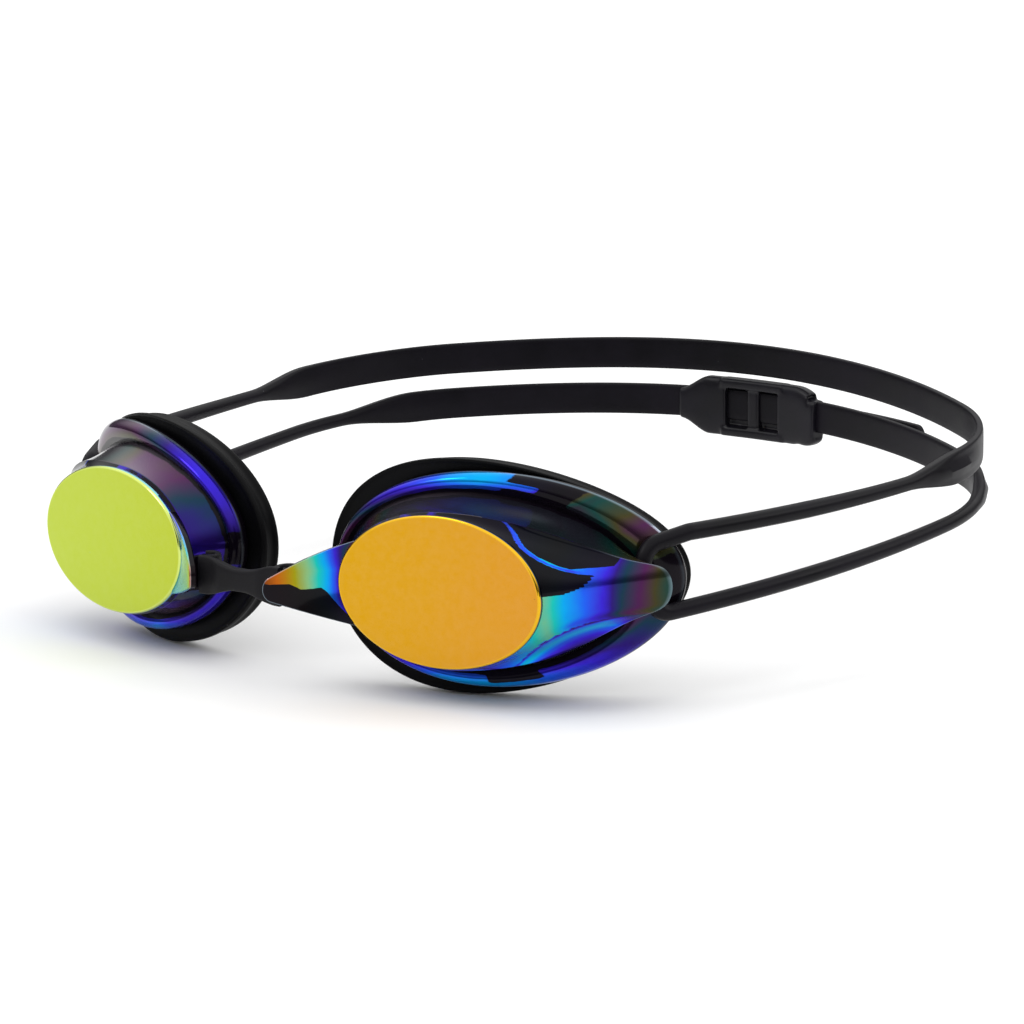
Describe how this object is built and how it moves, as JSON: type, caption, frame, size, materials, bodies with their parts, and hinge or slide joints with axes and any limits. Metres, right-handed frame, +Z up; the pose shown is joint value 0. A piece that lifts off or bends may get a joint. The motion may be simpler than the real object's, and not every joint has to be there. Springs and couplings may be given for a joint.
{
  "type": "swim goggles",
  "caption": "Swim goggles with mirrored oval lenses on raised walls, soft gaskets, a clip-on nose bridge and a split round-cord strap with a rear slide buckle.",
  "frame": {"origin": "middle of the seat on the face, on the midline, level with the centres of the two flat lens faces and 17 mm behind them", "axes": "+X towards the wearer's left, +Y back towards the rear of the head, +Z up; the lens faces look towards -Y"},
  "size_m": [0.1554, 0.1535, 0.0396],
  "materials": {
    "mirror_orange": "mirror-coated polycarbonate that reads orange on the flat face and blue to violet on the rims",
    "mirror_lime": "mirror-coated polycarbonate that reads lime on the flat face and blue to violet on the rims",
    "gasket_rubber": "matte",
    "bridge_rubber": "matte",
    "strap_silicone": "satin",
    "buckle_plastic": "satin"
  },
  "bodies": {
    "strap": {"upper_strap": "strap_silicone"},
    "lower_strap": {"left_lower_strap": "strap_silicone", "right_lower_strap": "strap_silicone", "strap_buckle": "buckle_plastic"},
    "tail": {"strap_tail": "strap_silicone"},
    "left_temple": {"left_temple_cord": "strap_silicone"},
    "right_temple": {"right_temple_cord": "strap_silicone"},
    "left_cup": {"left_lens": "mirror_orange", "left_gasket": "gasket_rubber"},
    "right_cup": {"right_lens": "mirror_lime", "right_gasket": "gasket_rubber"},
    "bridge": {"nose_bridge": "bridge_rubber"}
  },
  "joints": [
    {"name": "left_cup_swing", "type": "hinge", "parent": "left_temple", "child": "left_cup", "pos_m": [0.06487, 0.00566, 0], "axis": [0, 0, 1], "range_deg": [-9, 9]},
    {"name": "left_temple_flex", "type": "hinge", "parent": "strap", "child": "left_temple", "pos_m": [0.07313, 0.0386, 0.003], "axis": [0, 0, 1], "range_deg": [-4.21, 4.21]},
    {"name": "bridge_swing", "type": "hinge", "parent": "left_cup", "child": "bridge", "pos_m": [0.00928, -0.02268, -0.0012], "axis": [0, 0, 1], "range_deg": [-4.89, 4.89]},
    {"name": "right_temple_flex", "type": "hinge", "parent": "strap", "child": "right_temple", "pos_m": [-0.07313, 0.0386, 0.003], "axis": [0, 0, 1], "range_deg": [-4.21, 4.21]},
    {"name": "right_cup_swing", "type": "hinge", "parent": "right_temple", "child": "right_cup", "pos_m": [-0.06487, 0.00566, 0], "axis": [0, 0, 1], "range_deg": [-9.05, 9.05]},
    {"name": "lower_strap_spread", "type": "hinge", "parent": "strap", "child": "lower_strap", "pos_m": [0, 0.0386, -0.00215], "axis": [1, 0, 0], "range_deg": [-20, 0]},
    {"name": "strap_adjust", "type": "hinge", "parent": "lower_strap", "child": "tail", "pos_m": [0, 0.01335, 0.0057], "axis": [0, 0, 1], "range_deg": [-10, 0]}
  ],
  "couplings": [
    {"joint": "left_temple_flex", "follows": "left_cup_swing", "ratio": -0.46242},
    {"joint": "bridge_swing", "follows": "left_cup_swing", "ratio": -0.53758},
    {"joint": "right_cup_swing", "follows": "left_cup_swing", "ratio": -1},
    {"joint": "right_temple_flex", "follows": "left_cup_swing", "ratio": 0.46242}
  ]
}
